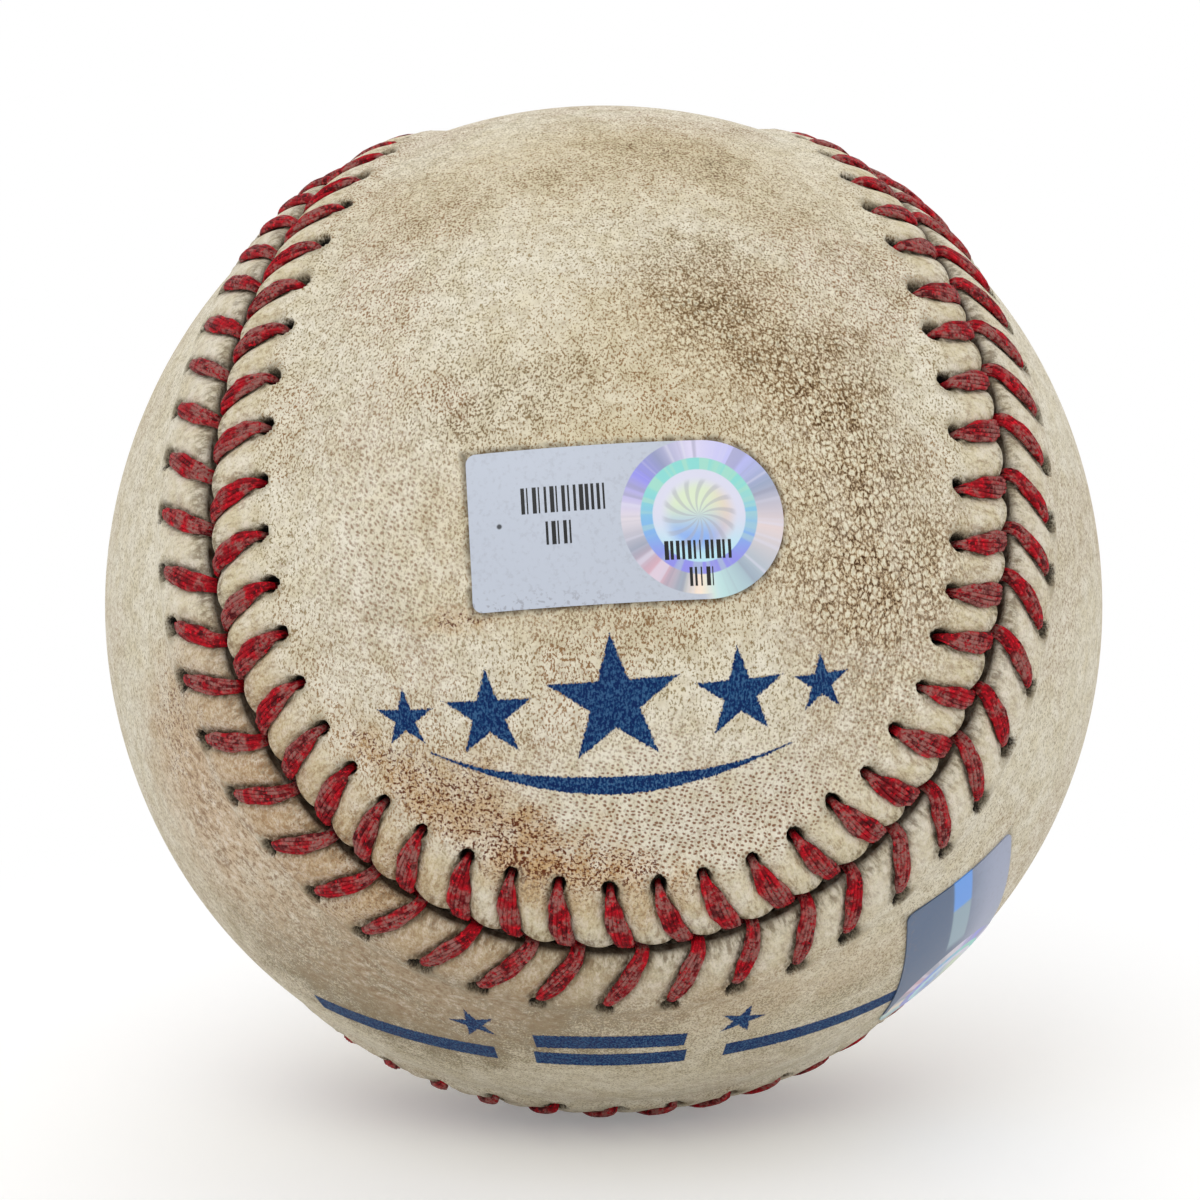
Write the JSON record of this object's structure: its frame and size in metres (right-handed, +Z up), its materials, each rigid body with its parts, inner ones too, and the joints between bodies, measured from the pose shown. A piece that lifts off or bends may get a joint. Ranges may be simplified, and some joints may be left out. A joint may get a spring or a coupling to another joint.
{
  "type": "baseball",
  "caption": "Leather ball with a raised red double-stitched seam on two figure-eight panels over wound yarn and a cushioned cork core, with two blank labels.",
  "frame": {"origin": "centre of the ball", "axes": "+Z up and -Y out of the front with the first label, as the ball is pictured; +X to the viewer's right"},
  "size_m": [0.0742, 0.0742, 0.0752],
  "materials": {
    "cork": "matte moulded cork",
    "black_rubber": "matte",
    "red_rubber": "matte",
    "grey_wool": "wound yarn",
    "white_wool": "wound yarn",
    "cotton": "wound yarn",
    "leather": "rubbed and soiled",
    "red_thread": "waxed cotton",
    "label_film": "pearly film"
  },
  "bodies": {
    "root": {"cork_core": "cork", "black_rubber_cup_a": "black_rubber", "black_rubber_cup_b": "black_rubber", "cushion_washer": "red_rubber", "red_rubber_layer": "red_rubber", "grey_wool_inner": "grey_wool", "white_wool_middle": "white_wool", "grey_wool_outer": "grey_wool", "cotton_winding": "cotton", "cover_panel_a": "leather", "cover_panel_b": "leather", "seam_thread_a": "red_thread", "seam_thread_b": "red_thread", "front_label": "label_film", "side_label": "label_film"}
  },
  "joints": []
}
